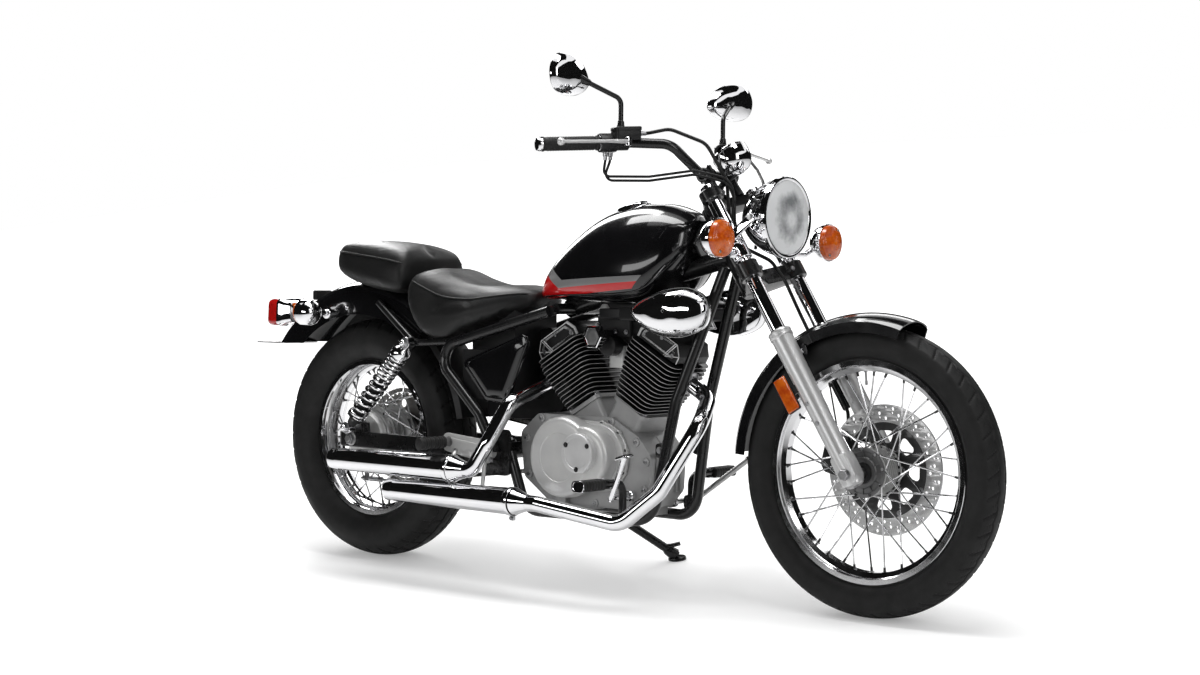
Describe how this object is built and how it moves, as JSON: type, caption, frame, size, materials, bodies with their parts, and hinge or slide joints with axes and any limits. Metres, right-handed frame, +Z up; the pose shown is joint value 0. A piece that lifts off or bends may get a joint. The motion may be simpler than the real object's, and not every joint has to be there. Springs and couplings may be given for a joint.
{
  "type": "cruiser motorcycle",
  "caption": "Cruiser motorcycle with a V-twin engine, wire wheels, teardrop tank, stepped seat, twin shock absorbers and two mufflers, leaning on its side stand.",
  "frame": {"origin": "on the floor, at the middle of the overall box's footprint", "axes": "+X forward along the machine, +Y to the rider's left, +Z up from the floor; the machine itself leans 9 degrees to its left"},
  "size_m": [2.2321, 0.7906, 1.2458],
  "materials": {
    "gloss_black": "gloss",
    "frame_black": "satin",
    "fin_black": "satin",
    "engine_silver": "satin",
    "alloy": "brushed",
    "chrome": "polished",
    "steel": "satin",
    "vinyl": "satin",
    "rubber": "matte",
    "bar_black": "satin",
    "tyre": "matte",
    "red_lens": "gloss"
  },
  "bodies": {
    "chassis": {"backbone_frame": "frame_black", "cradle_tubes": "frame_black", "rear_loops": "frame_black", "crankcase": "engine_silver", "engine_covers": "engine_silver", "front_cylinder": "fin_black", "rear_cylinder": "fin_black", "intake": "fin_black", "air_cleaner_covers": "chrome", "front_exhaust": "chrome", "rear_exhaust": "chrome", "fuel_tank": "gloss_black", "fuel_cap": "chrome", "rider_seat": "vinyl", "passenger_seat": "vinyl", "rear_fender": "gloss_black", "tail_light": "red_lens", "rear_signals": "chrome", "plate_bracket": "frame_black", "side_covers": "gloss_black", "battery_box": "frame_black", "swingarm": "frame_black", "shock_absorbers": "chrome", "rear_axle": "steel", "rear_brake_panel": "engine_silver", "rider_pegs": "rubber", "foot_controls": "steel", "passenger_pegs": "chrome", "drive_chain": "steel", "chain_guard": "frame_black"},
    "side_stand": {"side_stand": "frame_black"},
    "fork": {"fork_yokes": "alloy", "fork_tubes": "chrome", "fork_sliders": "alloy", "front_axle": "steel", "front_fender": "gloss_black", "front_caliper": "alloy", "handlebar": "bar_black", "grips": "rubber", "handlebar_controls": "bar_black", "control_cables": "bar_black", "mirrors": "chrome", "headlight": "chrome", "speedometer": "chrome", "front_signals": "chrome"},
    "front_wheel": {"front_tyre": "tyre", "front_wire_wheel": "chrome", "front_disc": "steel"},
    "rear_wheel": {"rear_tyre": "tyre", "rear_wire_wheel": "chrome", "rear_sprocket": "steel"}
  },
  "joints": [
    {"name": "steering", "type": "hinge", "parent": "chassis", "child": "fork", "pos_m": [0.47364, -0.03841, 0.71306], "axis": [-0.5299, 0.1327, 0.8376], "range_deg": [-38, 38]},
    {"name": "front_wheel_spin", "type": "hinge", "parent": "fork", "child": "front_wheel", "pos_m": [0.80507, -0.10252, 0.30826], "axis": [0, 0.9877, -0.1564], "continuous": true},
    {"name": "rear_wheel_spin", "type": "hinge", "parent": "chassis", "child": "rear_wheel", "pos_m": [-0.68493, -0.1033, 0.30332], "axis": [0, 0.9877, -0.1564], "continuous": true},
    {"name": "side_stand_fold", "type": "hinge", "parent": "chassis", "child": "side_stand", "pos_m": [0.01507, 0.00028, 0.1391], "axis": [0, 0.9877, -0.1564], "range_deg": [0, 105]}
  ]
}
